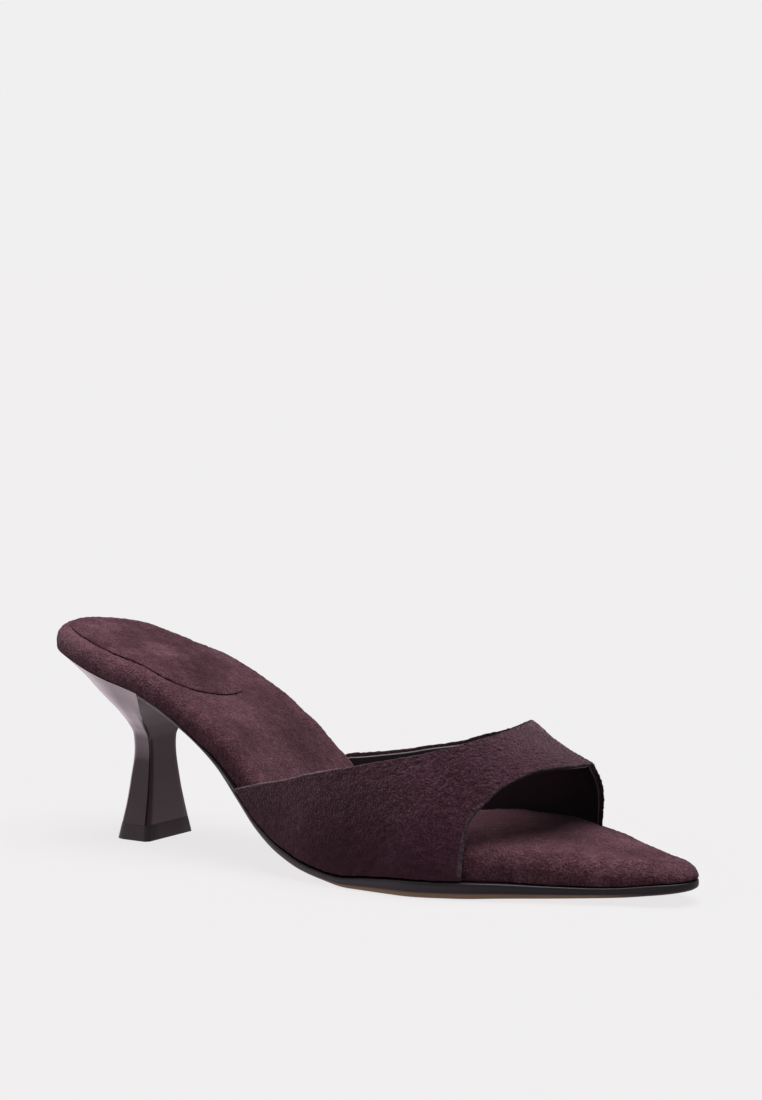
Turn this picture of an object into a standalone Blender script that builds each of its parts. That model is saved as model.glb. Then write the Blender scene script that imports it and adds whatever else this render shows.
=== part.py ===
import bpy
import bmesh
from collections import namedtuple
from math import cos, hypot, pi, sin, sqrt

# Open-toed mule on a flared heel, right foot, in metres with +Z up.
# +X runs from the heel to the toe, and -Y is the outer side of the foot.
# The origin is on the floor, under the middle of the tread at the ball of the foot.
# Sizes below are in millimetres, and MM turns them to metres.
MM = 0.001

# Plan of the sole
LENGTH = 235.0            # back of the heel to the tip of the toe, along the floor
TREAD_FROM_BACK = 152.0   # back of the heel to the middle of the tread
SEAT_WIDTH = 50.0
WAIST_WIDTH = 53.5
BALL_WIDTH = 78.0
TOE_WIDTH = 35.0          # a tenth of the length behind the tip
SEAT_ROUND = 33.0         # how far the rounding of the back reaches
TOE_ROUND = 8.5

# Side view of the sole
SEAT_HEIGHT = 61.0        # floor to the underside of the seat, at the back
TOE_SPRING = 4.2
OUTSOLE_WAIST = 1.0
OUTSOLE_TREAD = 4.0
OUTSOLE_BEVEL = 2.6       # how far the tread's rounded edge reaches in
SKIVE = 12.0              # length over which the outsole thins out onto the seat

# Padded footbed
FOOTBED_SEAT = 7.0
FOOTBED_TREAD = 8.4
FOOTBED_TOE = 3.2
FOOTBED_ROUND = 4.8       # radius of its top edge
FOOTBED_FEATHER = 0.5     # chamfer of its bottom edge
CROWN = 2.6               # how much the padding stands up along the middle

# Oval pad on the seat
PAD = 0.9
PAD_INSET = 5.0
PAD_SKEW = 9.0            # how much further in the pad's inner side lies at its front
PAD_FRONT = 68.5          # back of the heel to the pad's front
PAD_BACK_ROUND = 26.0
PAD_FRONT_ROUND = 17.0
PAD_EDGE = 0.6            # chamfer of its top edge

# Upper
WALL = 1.8
INSTEP_HEIGHT = 50.0      # floor to the ridge at the collar
FULLNESS = 2.15           # 2 is an ellipse, more is squarer

# Heel
BREAST_FROM_BACK = 47.0   # back of the heel to the breast, under the seat
HEEL_INSET = 0.5          # how far the heel's top lies inside the seat's edge
HEEL_SETBACK = 8.1        # how far the waist's breast lies behind the seat's breast
HEEL_WAIST_DEPTH = 8.6
HEEL_WAIST_WIDTH = 14.2
TIP_DEPTH = 15.4
TIP_WIDTH = 25.0
TIP_HEIGHT = 5.0
TIP_SETBACK = 5.5         # how far the tip's front lies behind the seat's breast, on the floor

CLEAR = 0.3               # gap between pieces that touch
SEAT_DEPTH = BREAST_FROM_BACK - HEEL_INSET

STATIONS = 52             # stations along the sole and the footbed
ACROSS = 8                # strips across a padded top

# Each row gives half widths as shares of the width that the row follows.
Plan = namedtuple("Plan", "along width outer inner")
PLAN = (
    Plan(0.00, SEAT_WIDTH, 0.465, 0.480),
    Plan(0.10, SEAT_WIDTH, 0.500, 0.500),
    Plan(0.22, SEAT_WIDTH, 0.510, 0.515),
    Plan(0.34, WAIST_WIDTH, 0.522, 0.480),
    Plan(0.46, BALL_WIDTH, 0.440, 0.375),
    Plan(0.58, BALL_WIDTH, 0.499, 0.441),
    Plan(0.66, BALL_WIDTH, 0.508, 0.486),
    Plan(0.74, BALL_WIDTH, 0.440, 0.459),
    Plan(0.82, BALL_WIDTH, 0.324, 0.362),
    Plan(0.90, TOE_WIDTH, 0.470, 0.520),
    Plan(0.96, TOE_WIDTH, 0.305, 0.325),
    Plan(1.00, TOE_WIDTH, 0.230, 0.230),
)

# seat and spring are shares of SEAT_HEIGHT and TOE_SPRING. outsole and edge are thicknesses
# of the outsole and of the footbed's side, as shares of the size that the row follows. crown
# is a share of CROWN, and lasting a share of the upper's wall, taken off the footbed's sides.
Side = namedtuple("Side", "along seat spring outsole edge crown lasting")
SIDE = (
    Side(0.00, 1.000, 0.00, 1.0 * OUTSOLE_WAIST, 1.00 * FOOTBED_SEAT, 0.2, 0.0),
    Side(0.06, 0.970, 0.00, 1.0 * OUTSOLE_WAIST, 1.00 * FOOTBED_SEAT, 0.2, 0.0),
    Side(0.12, 0.907, 0.00, 1.0 * OUTSOLE_WAIST, 1.00 * FOOTBED_SEAT, 0.3, 0.0),
    Side(0.18, 0.834, 0.00, 1.0 * OUTSOLE_WAIST, 1.00 * FOOTBED_SEAT, 0.3, 0.0),
    Side(0.22, 0.773, 0.00, 1.0 * OUTSOLE_WAIST, 1.00 * FOOTBED_SEAT, 0.3, 0.0),
    Side(0.26, 0.698, 0.00, 1.0 * OUTSOLE_WAIST, 1.00 * FOOTBED_SEAT, 0.3, 0.0),
    Side(0.30, 0.611, 0.00, 1.0 * OUTSOLE_WAIST, 1.00 * FOOTBED_SEAT, 0.3, 0.0),
    Side(0.34, 0.500, 0.00, 1.0 * OUTSOLE_WAIST, 1.00 * FOOTBED_SEAT, 0.3, 0.5),
    Side(0.38, 0.357, 0.00, 0.28 * OUTSOLE_TREAD, 0.86 * FOOTBED_TREAD, 0.3, 0.9),
    Side(0.42, 0.217, 0.00, 0.34 * OUTSOLE_TREAD, 0.92 * FOOTBED_TREAD, 0.4, 1.0),
    Side(0.46, 0.120, 0.00, 0.46 * OUTSOLE_TREAD, 0.97 * FOOTBED_TREAD, 0.6, 1.0),
    Side(0.50, 0.056, 0.00, 0.60 * OUTSOLE_TREAD, 1.05 * FOOTBED_TREAD, 0.8, 1.0),
    Side(0.54, 0.020, 0.00, 0.70 * OUTSOLE_TREAD, 1.09 * FOOTBED_TREAD, 1.0, 1.0),
    Side(0.58, 0.000, 0.00, 0.88 * OUTSOLE_TREAD, 1.12 * FOOTBED_TREAD, 1.0, 1.0),
    Side(0.62, 0.000, 0.00, 1.12 * OUTSOLE_TREAD, 1.12 * FOOTBED_TREAD, 1.0, 1.0),
    Side(0.67, 0.000, 0.00, 1.30 * OUTSOLE_TREAD, 1.14 * FOOTBED_TREAD, 1.0, 1.0),
    Side(0.73, 0.000, 0.03, 1.30 * OUTSOLE_TREAD, 1.14 * FOOTBED_TREAD, 1.0, 1.0),
    Side(0.78, 0.000, 0.14, 1.20 * OUTSOLE_TREAD, 1.10 * FOOTBED_TREAD, 1.0, 1.0),
    Side(0.84, 0.000, 0.25, 1.00 * OUTSOLE_TREAD, 1.01 * FOOTBED_TREAD, 0.9, 0.3),
    Side(0.92, 0.000, 0.48, 0.80 * OUTSOLE_TREAD, 0.78 * FOOTBED_TREAD, 0.7, 0.2),
    Side(0.97, 0.000, 0.80, 0.80 * OUTSOLE_TREAD, 1.35 * FOOTBED_TOE, 0.5, 0.2),
    Side(1.00, 0.000, 1.00, 0.70 * OUTSOLE_TREAD, 1.00 * FOOTBED_TOE, 0.3, 0.2),
)

# Height of the last's ridge over the forefoot, as shares of INSTEP_HEIGHT.
Ridge = namedtuple("Ridge", "along height")
RIDGE = (
    Ridge(0.380, 1.800),
    Ridge(0.500, 1.600),
    Ridge(0.590, 1.370),
    Ridge(0.645, 1.215),
    Ridge(0.690, 1.095),
    Ridge(0.725, 1.000),
    Ridge(0.748, 0.922),
    Ridge(0.774, 0.866),
    Ridge(0.800, 0.818),
    Ridge(0.830, 0.768),
    Ridge(0.863, 0.722),
    Ridge(0.900, 0.690),
)

# Where the band's two edges lie along the shoe, round the arch from the outer foot at turn 0
# over the ridge at 0.5 to the inner foot at 1. Both are shares of LENGTH.
Band = namedtuple("Band", "turn collar toe")
BAND = (
    Band(0.000, 0.382, 0.742),
    Band(0.050, 0.430, 0.743),
    Band(0.095, 0.487, 0.744),
    Band(0.130, 0.540, 0.746),
    Band(0.170, 0.600, 0.754),
    Band(0.200, 0.637, 0.762),
    Band(0.240, 0.673, 0.770),
    Band(0.295, 0.705, 0.785),
    Band(0.350, 0.725, 0.799),
    Band(0.415, 0.736, 0.818),
    Band(0.480, 0.739, 0.831),
    Band(0.540, 0.736, 0.833),
    Band(0.600, 0.727, 0.824),
    Band(0.640, 0.719, 0.817),
    Band(0.680, 0.704, 0.811),
    Band(0.720, 0.686, 0.807),
    Band(0.780, 0.650, 0.804),
    Band(0.845, 0.582, 0.798),
    Band(0.895, 0.501, 0.792),
    Band(0.930, 0.443, 0.788),
    Band(0.965, 0.400, 0.784),
    Band(1.000, 0.372, 0.780),
)
BAND_TURNS = 56
BAND_STEPS = 20

# rise is a share of the way from the tip to the seat. depth and width are shares of the
# sizes that the row follows, setback is a share of HEEL_SETBACK, and seat says how far the
# section has turned from the block's own rounded box to the outline of the seat.
Block = namedtuple("Block", "rise depth width setback seat")
HEEL = (
    Block(0.00, 0.87 * TIP_DEPTH, 0.92 * TIP_WIDTH, 0.78, 0.0),
    Block(0.12, 0.77 * TIP_DEPTH, 0.80 * TIP_WIDTH, 0.84, 0.0),
    Block(0.25, 0.69 * TIP_DEPTH, 0.69 * TIP_WIDTH, 0.90, 0.0),
    Block(0.50, HEEL_WAIST_DEPTH, HEEL_WAIST_WIDTH, 0.99, 0.0),
    Block(0.58, 0.19 * SEAT_DEPTH, 0.30 * SEAT_WIDTH, 1.00, 0.1),
    Block(0.66, 0.23 * SEAT_DEPTH, 0.41 * SEAT_WIDTH, 0.92, 0.3),
    Block(0.74, 0.33 * SEAT_DEPTH, 0.57 * SEAT_WIDTH, 0.74, 0.6),
    Block(0.80, 0.46 * SEAT_DEPTH, 0.69 * SEAT_WIDTH, 0.57, 0.8),
    Block(0.86, 0.61 * SEAT_DEPTH, 0.79 * SEAT_WIDTH, 0.38, 0.9),
    Block(0.92, 0.76 * SEAT_DEPTH, 0.88 * SEAT_WIDTH, 0.20, 1.0),
    Block(1.00, SEAT_DEPTH, SEAT_WIDTH, 0.00, 1.0),
)
HEEL_RINGS = 22
HEEL_STATIONS = 22
BLOCK_BACK_ROUND = 0.42   # share of a section's depth that its rounded back takes
BLOCK_CORNER = 0.10       # share of a section's depth that its front corners take
BLOCK_SQUARENESS = 2.6


# A smooth curve through the rows that never overshoots them
def smooth(places, values):
    steps = [b - a for a, b in zip(places, places[1:])]
    slopes = [(b - a) / step for a, b, step in zip(values, values[1:], steps)]
    tangents = [slopes[0]]
    for before, after in zip(slopes, slopes[1:]):
        turns = before * after <= 0
        tangents.append(0.0 if turns else 2 * before * after / (before + after))
    tangents.append(slopes[-1])

    def value(place):
        place = min(max(place, places[0]), places[-1])
        i = max(j for j in range(len(steps)) if places[j] <= place)
        t = (place - places[i]) / steps[i]
        level = values[i] * (1 + 2 * t) * (1 - t) ** 2 + values[i + 1] * t * t * (3 - 2 * t)
        lean = tangents[i] * t * (1 - t) ** 2 - tangents[i + 1] * t * t * (1 - t)
        return level + lean * steps[i]

    return value


# A table's column as a curve over its first column
def column(table, name, scale=1.0):
    places = [row[0] * scale for row in table]
    return smooth(places, [getattr(row, name) for row in table])


outer_width = smooth([row.along * LENGTH for row in PLAN], [row.width * row.outer for row in PLAN])
inner_width = smooth([row.along * LENGTH for row in PLAN], [row.width * row.inner for row in PLAN])
seat_share = column(SIDE, "seat", LENGTH)
spring_share = column(SIDE, "spring", LENGTH)
outsole_height = column(SIDE, "outsole", LENGTH)
edge_height = column(SIDE, "edge", LENGTH)
crown_share = column(SIDE, "crown", LENGTH)
lasting_share = column(SIDE, "lasting", LENGTH)
ridge_share = column(RIDGE, "height", LENGTH)
collar_place = column(BAND, "collar")
toe_place = column(BAND, "toe")


# 0 at an end and 1 once the rounding there is over, along a quarter of an ellipse
def rounding(distance, reach):
    short = max(0.0, 1 - distance / reach)
    return sqrt(max(0.0, 1 - short * short))


# Half width of the whole sole on one side, -1 for the outer and 1 for the inner
def sole_half(x, side):
    width = outer_width(x) if side < 0 else inner_width(x)
    return width * rounding(x, SEAT_ROUND) * rounding(LENGTH - x, TOE_ROUND)


# The footbed gives way to the upper's wall where the upper is lasted round it
def footbed_half(x, side):
    width = outer_width(x) if side < 0 else inner_width(x)
    return sole_half(x, side) * (1 - lasting_share(x) * (WALL + CLEAR) / width)


def pad_half(x, side):
    width = outer_width(x) if side < 0 else inner_width(x) - PAD_SKEW * (x / PAD_FRONT) ** 2
    front = rounding(PAD_FRONT - x, PAD_FRONT_ROUND)
    return (width - PAD_INSET) * rounding(x - PAD_INSET, PAD_BACK_ROUND) * front


# Height of the sole's underside over the floor
def underside(x):
    return SEAT_HEIGHT * seat_share(x) + TOE_SPRING * spring_share(x)


# How much longer a thickness gets when it is measured straight up on the slope
def steepness(x):
    reach = LENGTH / 100
    return hypot(1.0, (underside(x + reach) - underside(x - reach)) / (2 * reach))


# Thickness of the outsole, which thins to nothing on the seat behind the breast
def outsole_thickness(x):
    laid = min(1.0, max(0.0, (x - BREAST_FROM_BACK) / SKIVE + 1))
    return outsole_height(x) * laid * steepness(x)


def footbed_base(x):
    return underside(x) + outsole_thickness(x) + CLEAR


def footbed_edge(x):
    return edge_height(x) * steepness(x)


# How far the rounding of the top edge reaches down, where the side is low too
def edge_radius(x):
    return min(FOOTBED_ROUND, 0.8 * footbed_edge(x))


# How much the padding stands over its edge at a point
def crown_at(x, y):
    half = max(footbed_half(x, -1 if y < 0 else 1), CLEAR)
    return CROWN * crown_share(x) * max(0.0, 1 - (y / half) ** 2)


def footbed_top(x, y):
    return footbed_base(x) + footbed_edge(x) + crown_at(x, y)


# Places from start to end, closer together near the ends
def spaced(start, end, count):
    return [start + (end - start) * (1 - cos(pi * i / count)) / 2 for i in range(count + 1)]


# The two sides of an outline as lists of points, moved in by inset along the outline's normal
def outline(half, start, end, count, inset):
    sides = []
    for side in (-1, 1):
        edge = [(x, side * half(x, side)) for x in spaced(start, end, count)]
        moved = []
        for i, (x, y) in enumerate(edge):
            before = edge[i - 1] if i > 0 else (x, -y)
            after = edge[i + 1] if i < count else (x, -y)
            dx, dy = after[0] - before[0], after[1] - before[1]
            if 0 < i < count:
                run = hypot(dx, dy)
                moved.append((x + side * dy / run * inset, y - side * dx / run * inset))
            else:
                blunt = abs(y) > inset
                nudge = 0.0 if blunt else (inset if i == 0 else -inset)
                moved.append((x + nudge, y - side * inset if blunt else 0.0))
        sides.append(moved)
    return sides


# A lid's bars of points from side to side, one bar at each station
def lid_bars(mesh, sides, points, across, height):
    bars = []
    for i in range(len(points[0])):
        bar = [sides[0][i]]
        for j in range(1, across):
            share = j / across
            x = points[0][i][0] + (points[1][i][0] - points[0][i][0]) * share
            y = points[0][i][1] + (points[1][i][1] - points[0][i][1]) * share
            bar.append(mesh.verts.new((x, y, height(x, y))))
        bars.append(bar + [sides[1][i]])
    for bar, following in zip(bars, bars[1:]):
        for j in range(across):
            mesh.faces.new((bar[j], bar[j + 1], following[j + 1], following[j]))
    return bars


# A closed solid between rings, each a pair of sides with the same number of points. Its two
# lids run from side to side, at the heights that the last two arguments give.
def ring_solid(rings, across, low_height, high_height):
    mesh = bmesh.new()
    rows = [[[mesh.verts.new(point) for point in side] for side in ring] for ring in rings]
    low_bars = lid_bars(mesh, rows[0], rings[0], across, low_height)
    high_bars = lid_bars(mesh, rows[-1], rings[-1], across, high_height)
    for k, (low, high) in enumerate(zip(rows, rows[1:])):
        for side in (0, 1):
            for i in range(len(low[side]) - 1):
                mesh.faces.new((low[side][i], low[side][i + 1], high[side][i + 1], high[side][i]))
        for end in (0, -1):
            below = low_bars[end] if k == 0 else [low[0][end], low[1][end]]
            above = high_bars[end] if k == len(rows) - 2 else [high[0][end], high[1][end]]
            mesh.faces.new(below + above[::-1])
    return mesh


# A finished object from a mesh in millimetres measured from the back of the heel
def finish(name, mesh, collection, material):
    for vert in mesh.verts:
        vert.co.x -= TREAD_FROM_BACK
        vert.co *= MM
    bmesh.ops.remove_doubles(mesh, verts=mesh.verts, dist=0.000002)
    bmesh.ops.dissolve_degenerate(mesh, edges=mesh.edges, dist=0.000002)
    bmesh.ops.recalc_face_normals(mesh, faces=mesh.faces)
    data = bpy.data.meshes.new(name)
    mesh.to_mesh(data)
    mesh.free()
    data.shade_smooth()
    data.set_sharp_from_angle(angle=pi / 5)
    data.materials.append(material)
    thing = bpy.data.objects.new(name, data)
    collection.objects.link(thing)
    return thing


def material(name, color, roughness):
    made = bpy.data.materials.new(name)
    made.use_nodes = True
    shader = made.node_tree.nodes["Principled BSDF"]
    shader.inputs["Base Color"].default_value = (*color, 1.0)
    shader.inputs["Roughness"].default_value = roughness
    shader.inputs["Metallic"].default_value = 0.0
    made.diffuse_color = (*color, 1.0)
    return made


# Outsole: a flat tread with a rounded lower edge, from the breast to the toe
def make_outsole(collection, finish_of):
    start = BREAST_FROM_BACK + CLEAR
    rings = []
    for inset, rise in ((OUTSOLE_BEVEL, 0.0), (0.35 * OUTSOLE_BEVEL, 0.12), (0.0, 0.42),
                        (0.0, 0.85), (0.12 * OUTSOLE_BEVEL, 1.0)):
        sides = outline(sole_half, start, LENGTH, STATIONS, inset)
        rings.append([[(x, y, underside(x) + rise * outsole_thickness(x)) for x, y in side]
                      for side in sides])
    mesh = ring_solid(rings, 2, lambda x, y: underside(x),
                      lambda x, y: underside(x) + outsole_thickness(x))
    return finish("outsole", mesh, collection, finish_of)


# Footbed: board and padding in one, with a rounded top edge and a crowned top
def make_footbed(collection, finish_of):
    rings = []
    for inset, rise in ((FOOTBED_FEATHER, 0.0), (0.0, FOOTBED_FEATHER)):
        sides = outline(footbed_half, 0.0, LENGTH, STATIONS, inset)
        rings.append([[(x, y, footbed_base(x) + rise) for x, y in side] for side in sides])
    for step in range(5):
        angle = step * pi / 8
        inset = FOOTBED_ROUND * (1 - cos(angle))
        sides = outline(footbed_half, 0.0, LENGTH, STATIONS, inset)
        rings.append([[(x, y, footbed_top(x, y) - edge_radius(x) * (1 - sin(angle)))
                       for x, y in side] for side in sides])
    mesh = ring_solid(rings, ACROSS, lambda x, y: footbed_base(x), footbed_top)
    return finish("footbed", mesh, collection, finish_of)


# Heel pad: a thin oval that lies on the seat and follows its padding
def make_heel_pad(collection, finish_of):
    rings = []
    for inset, rise in ((0.0, 0.0), (0.0, PAD - PAD_EDGE), (PAD_EDGE, PAD)):
        sides = outline(pad_half, PAD_INSET, PAD_FRONT, STATIONS // 2, inset)
        rings.append([[(x, y, footbed_top(x, y) + CLEAR + rise) for x, y in side]
                      for side in sides])
    mesh = ring_solid(rings, ACROSS, lambda x, y: footbed_top(x, y) + CLEAR,
                      lambda x, y: footbed_top(x, y) + CLEAR + PAD)
    return finish("heel_pad", mesh, collection, finish_of)


# A point on the outside of the upper, at a place along the shoe and a turn round the arch
def upper_point(x, turn):
    angle = pi * turn
    side = -1 if turn < 0.5 else 1
    half = footbed_half(x, side) + CLEAR + WALL
    base = footbed_base(x)
    ridge = INSTEP_HEIGHT * ridge_share(x)
    y = side * half * abs(cos(angle)) ** (2 / FULLNESS)
    return x, y, base + (ridge - base) * sin(angle) ** (2 / FULLNESS)


# Upper: a band over the forefoot, open at the collar, at the toe and underneath
def make_upper(collection, finish_of):
    mesh = bmesh.new()
    rows = []
    for i in range(BAND_TURNS + 1):
        turn = i / BAND_TURNS
        back, front = collar_place(turn) * LENGTH, toe_place(turn) * LENGTH
        rows.append([mesh.verts.new(upper_point(back + (front - back) * j / BAND_STEPS, turn))
                     for j in range(BAND_STEPS + 1)])
    for row, following in zip(rows, rows[1:]):
        for j in range(BAND_STEPS):
            mesh.faces.new((row[j], row[j + 1], following[j + 1], following[j]))
    thing = finish("upper", mesh, collection, finish_of)
    wall = thing.modifiers.new("wall", "SOLIDIFY")
    wall.thickness = WALL * MM
    wall.offset = -1.0
    return thing


# One side of a heel section: a rounded back, a straight side and a small front corner
def block_side(depth, half, seat, back, side):
    points = []
    for i in range(HEEL_STATIONS + 1):
        share = (1 - cos(pi * i / HEEL_STATIONS)) / 2
        rear = max(0.0, 1 - share / BLOCK_BACK_ROUND)
        front = max(0.0, 1 - (1 - share) / BLOCK_CORNER)
        boxed = (1 - rear ** BLOCK_SQUARENESS) ** (1 / BLOCK_SQUARENESS)
        boxed *= 1 - 0.12 * front * front
        place = HEEL_INSET + SEAT_DEPTH * share
        seated = (sole_half(place, side) - HEEL_INSET * boxed) / (0.5 * SEAT_WIDTH)
        points.append((back + depth * share, side * half * (boxed + (seated - boxed) * seat)))
    return points


# Heel: sections from the tip to the seat, whose top follows the footbed's underside
def make_heel(collection, finish_of):
    floor = TIP_HEIGHT + CLEAR
    depth_at = column(HEEL, "depth")
    width_at = column(HEEL, "width")
    setback_at = column(HEEL, "setback")
    seat_at = column(HEEL, "seat")

    def seat_top(x):
        return underside(x) + outsole_thickness(x)

    rings = []
    for k in range(HEEL_RINGS + 1):
        rise = k / HEEL_RINGS
        depth = depth_at(rise)
        back = BREAST_FROM_BACK - setback_at(rise) * HEEL_SETBACK - depth
        sides = [block_side(depth, width_at(rise) / 2, seat_at(rise), back, side) for side in (-1, 1)]
        rings.append([[(x, y, floor + rise * (seat_top(x) - floor)) for x, y in side]
                      for side in sides])
    mesh = ring_solid(rings, 2, lambda x, y: floor, lambda x, y: seat_top(x))
    return finish("heel", mesh, collection, finish_of)


# Heel tip: the top lift, flared on from the heel above it
def make_heel_tip(collection, finish_of):
    foot = HEEL[0]
    rings = []
    for depth, width, setback, height in (
            (TIP_DEPTH, TIP_WIDTH, TIP_SETBACK, 0.0),
            (foot.depth, foot.width, foot.setback * HEEL_SETBACK, TIP_HEIGHT)):
        back = BREAST_FROM_BACK - setback - depth
        sides = [block_side(depth, width / 2, 0.0, back, side) for side in (-1, 1)]
        rings.append([[(x, y, height) for x, y in side] for side in sides])
    mesh = ring_solid(rings, 2, lambda x, y: 0.0, lambda x, y: TIP_HEIGHT)
    return finish("heel_tip", mesh, collection, finish_of)


def main():
    for thing in list(bpy.data.objects):
        bpy.data.objects.remove(thing, do_unlink=True)
    shoe = bpy.data.collections.new("heeled_mule")
    bpy.context.scene.collection.children.link(shoe)
    suede = material("plum suede", (0.055, 0.026, 0.033), 0.95)
    pad_suede = material("plum pad suede", (0.085, 0.042, 0.050), 0.95)
    edge = material("black burnished edge", (0.020, 0.020, 0.022), 0.35)
    gloss = material("plum gloss lacquer", (0.040, 0.030, 0.035), 0.15)
    lift = material("black top lift rubber", (0.018, 0.016, 0.017), 0.45)
    make_outsole(shoe, edge)
    make_footbed(shoe, suede)
    make_heel_pad(shoe, pad_suede)
    make_upper(shoe, suede)
    make_heel(shoe, gloss)
    make_heel_tip(shoe, lift)


main()
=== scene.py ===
from bisect import bisect_right
from math import cos, hypot, pi, radians, sin, sqrt

import bmesh
import bpy
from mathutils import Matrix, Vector, noise


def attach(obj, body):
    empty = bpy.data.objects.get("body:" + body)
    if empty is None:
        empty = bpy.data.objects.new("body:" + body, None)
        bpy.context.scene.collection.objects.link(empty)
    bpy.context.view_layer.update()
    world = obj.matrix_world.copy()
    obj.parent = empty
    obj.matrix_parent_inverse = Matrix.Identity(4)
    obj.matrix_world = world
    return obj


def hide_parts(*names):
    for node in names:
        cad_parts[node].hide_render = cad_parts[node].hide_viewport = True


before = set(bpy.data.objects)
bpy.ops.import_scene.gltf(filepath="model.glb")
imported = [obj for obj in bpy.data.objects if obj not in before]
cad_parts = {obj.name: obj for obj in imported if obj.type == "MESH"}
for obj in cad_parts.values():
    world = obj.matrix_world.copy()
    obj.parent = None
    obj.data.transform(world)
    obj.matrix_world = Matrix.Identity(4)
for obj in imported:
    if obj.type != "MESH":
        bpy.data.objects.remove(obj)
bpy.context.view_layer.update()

# Heeled mule, right foot. +X runs from the heel to the toe, -Y is the outer side, +Z is up.
# All sizes are in millimetres and become metres when a mesh is made.
print("frame loaded")


# The last: the form that every piece is built round.
last = {
    "length": 235.0,
    "treadFromBack": 152.0,  # back of the heel to the frame's origin
    "seatWidth": 50.0,
    "waistWidth": 53.5,
    "ballWidth": 78.0,
    "toeWidth": 35.0,
    "seatRound": 33.0,
    "toeRound": 8.5,
    "seatHeight": 61.0,
    "toeSpring": 4.2,
    "instepHeight": 50.0,
    "fullness": 2.15,  # 2 is an elliptic arch, more is squarer
    "clear": 0.3,  # gap between pieces that touch
}
length, clear = last["length"], last["clear"]
seatWide, waistWide = last["seatWidth"], last["waistWidth"]
ballWide, toeWide = last["ballWidth"], last["toeWidth"]

# Place along the shoe, then the half widths on the outer and the inner side.
planRows = [
    (0.00, 0.465 * seatWide, 0.480 * seatWide),
    (0.10, 0.500 * seatWide, 0.500 * seatWide),
    (0.22, 0.510 * seatWide, 0.515 * seatWide),
    (0.34, 0.522 * waistWide, 0.480 * waistWide),
    (0.46, 0.440 * ballWide, 0.375 * ballWide),
    (0.58, 0.499 * ballWide, 0.441 * ballWide),
    (0.66, 0.508 * ballWide, 0.486 * ballWide),
    (0.74, 0.440 * ballWide, 0.459 * ballWide),
    (0.82, 0.324 * ballWide, 0.362 * ballWide),
    (0.90, 0.470 * toeWide, 0.520 * toeWide),
    (0.96, 0.305 * toeWide, 0.325 * toeWide),
    (1.00, 0.230 * toeWide, 0.230 * toeWide),
]

# Place along the shoe, then the underside's height as a share of the seat's height and of
# the toe's spring.
profileRows = [
    (0.00, 1.000, 0.00), (0.06, 0.970, 0.00), (0.12, 0.907, 0.00), (0.18, 0.834, 0.00),
    (0.22, 0.773, 0.00), (0.26, 0.698, 0.00), (0.30, 0.611, 0.00), (0.34, 0.500, 0.00),
    (0.38, 0.345, 0.00), (0.42, 0.203, 0.00), (0.46, 0.107, 0.00), (0.50, 0.049, 0.00),
    (0.54, 0.020, 0.00), (0.58, 0.000, 0.00), (0.62, 0.000, 0.00), (0.67, 0.000, 0.00),
    (0.73, 0.000, 0.03), (0.78, 0.000, 0.14), (0.84, 0.000, 0.25), (0.92, 0.000, 0.48),
    (0.97, 0.000, 0.80), (1.00, 0.000, 1.00),
]


# A smooth curve through one column of a table that never overshoots its rows
def smoothCurve(rows, columnNumber, scale=1.0):
    places = [row[0] * scale for row in rows]
    values = [row[columnNumber] for row in rows]
    steps = [b - a for a, b in zip(places, places[1:])]
    slopes = [(b - a) / step for a, b, step in zip(values, values[1:], steps)]
    leans = [slopes[0]]
    for before, after in zip(slopes, slopes[1:]):
        leans.append(0.0 if before * after <= 0 else 2 * before * after / (before + after))
    leans.append(slopes[-1])

    def valueAt(place):
        place = min(max(place, places[0]), places[-1])
        i = min(bisect_right(places, place) - 1, len(steps) - 1)
        t = (place - places[i]) / steps[i]
        level = values[i] * (1 + 2 * t) * (1 - t) ** 2 + values[i + 1] * t * t * (3 - 2 * t)
        lean = leans[i] * t * (1 - t) ** 2 - leans[i + 1] * t * t * (1 - t)
        return level + lean * steps[i]

    return valueAt


outerWidth = smoothCurve(planRows, 1, length)
innerWidth = smoothCurve(planRows, 2, length)
seatShare = smoothCurve(profileRows, 1, length)
springShare = smoothCurve(profileRows, 2, length)


# 0 at an end and 1 once its rounding is over, along a quarter of an ellipse
def endRounding(distance, reach):
    short = max(0.0, 1 - distance / reach)
    return sqrt(max(0.0, 1 - short * short))


def sideWidth(x, side):
    return outerWidth(x) if side < 0 else innerWidth(x)


def soleHalf(x, side):
    back = endRounding(x, last["seatRound"])
    front = endRounding(length - x, last["toeRound"])
    return sideWidth(x, side) * back * front


def undersideAt(x):
    return last["seatHeight"] * seatShare(x) + last["toeSpring"] * springShare(x)


# How much longer a thickness gets when it is measured straight up on the slope
def steepnessAt(x):
    reach = length / 100
    return hypot(1.0, (undersideAt(x + reach) - undersideAt(x - reach)) / (2 * reach))


# Places from start to end that crowd towards both ends
def crowdedPlaces(start, end, count):
    return [start + (end - start) * (1 - cos(pi * i / count)) / 2 for i in range(count + 1)]


# Places that crowd only a little, so the middle keeps its detail
def evenPlaces(start, end, count):
    crowding = 0.45
    crowded = crowdedPlaces(start, end, count)
    return [crowding * place + (1 - crowding) * (start + (end - start) * i / count)
            for i, place in enumerate(crowded)]


# The two sides of an outline, moved in by inset along the outline's own normal
def outlineSides(half, places, inset):
    sides = []
    for side in (-1, 1):
        edge = [(x, side * half(x, side)) for x in places]
        moved = []
        for i, (x, y) in enumerate(edge):
            if 0 < i < len(edge) - 1:
                dx = edge[i + 1][0] - edge[i - 1][0]
                dy = edge[i + 1][1] - edge[i - 1][1]
                run = hypot(dx, dy)
                moved.append((x + side * dy / run * inset, y - side * dx / run * inset))
            else:
                blunt = abs(y) > inset
                nudge = 0.0 if blunt else (inset if i == 0 else -inset)
                moved.append((x + nudge, y - side * inset if blunt else 0.0))
        sides.append(moved)
    return sides


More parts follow.
